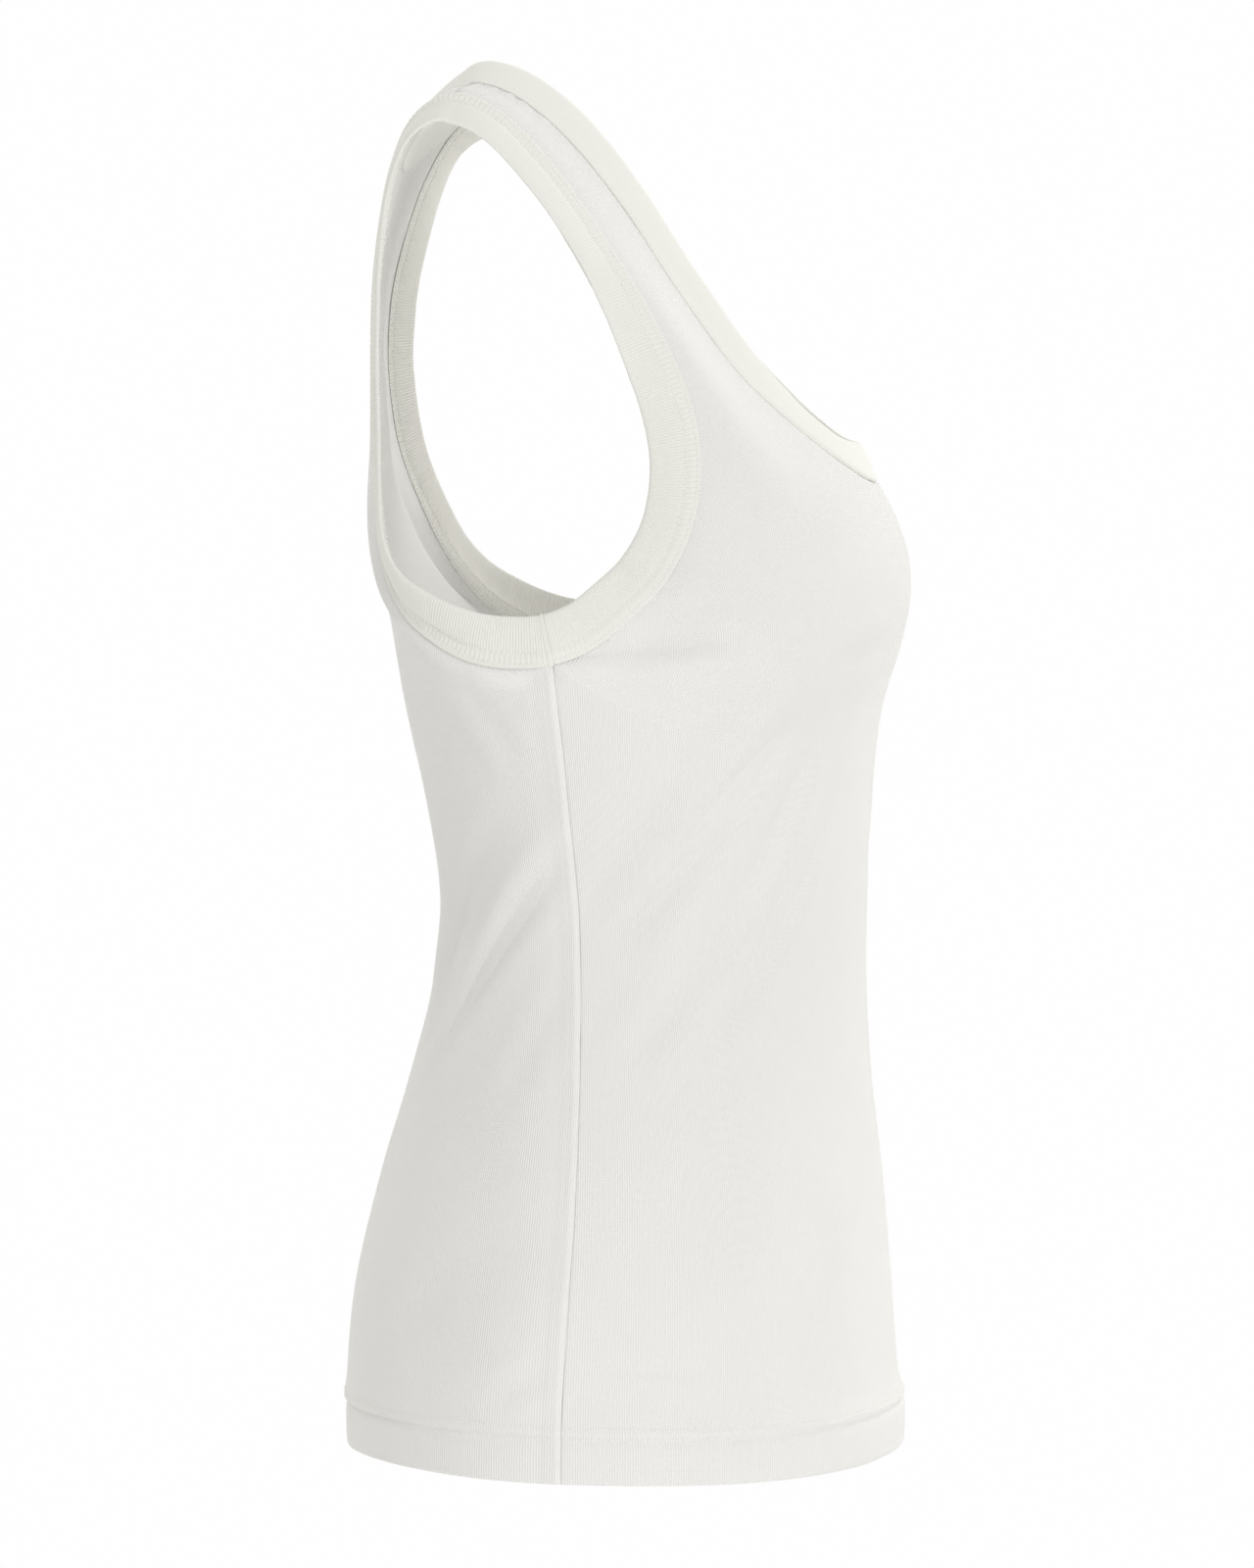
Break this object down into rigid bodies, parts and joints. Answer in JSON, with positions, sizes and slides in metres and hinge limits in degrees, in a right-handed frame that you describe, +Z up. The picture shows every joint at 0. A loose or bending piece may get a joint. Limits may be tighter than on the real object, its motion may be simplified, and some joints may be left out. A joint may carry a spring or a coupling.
{
  "type": "tank top",
  "caption": "Fitted rib-knit tank top standing open as worn, with a deep scooped neck, wide bound armholes and a turned-up hem.",
  "frame": {"origin": "middle of the shoulder line, at the underside of the straps where a wearer holds the top up", "axes": "+Z up towards the shoulders, -Y out of the front, -X towards the wearer's right"},
  "size_m": [0.34, 0.2435, 0.5992],
  "materials": {
    "rib_knit": "matte fine rib knit",
    "binding_knit": "matte folded rib knit"
  },
  "bodies": {
    "root": {"front_panel": "rib_knit", "back_panel": "rib_knit", "armhole_binding_right": "binding_knit", "armhole_binding_left": "binding_knit", "neck_binding": "binding_knit"}
  },
  "joints": []
}
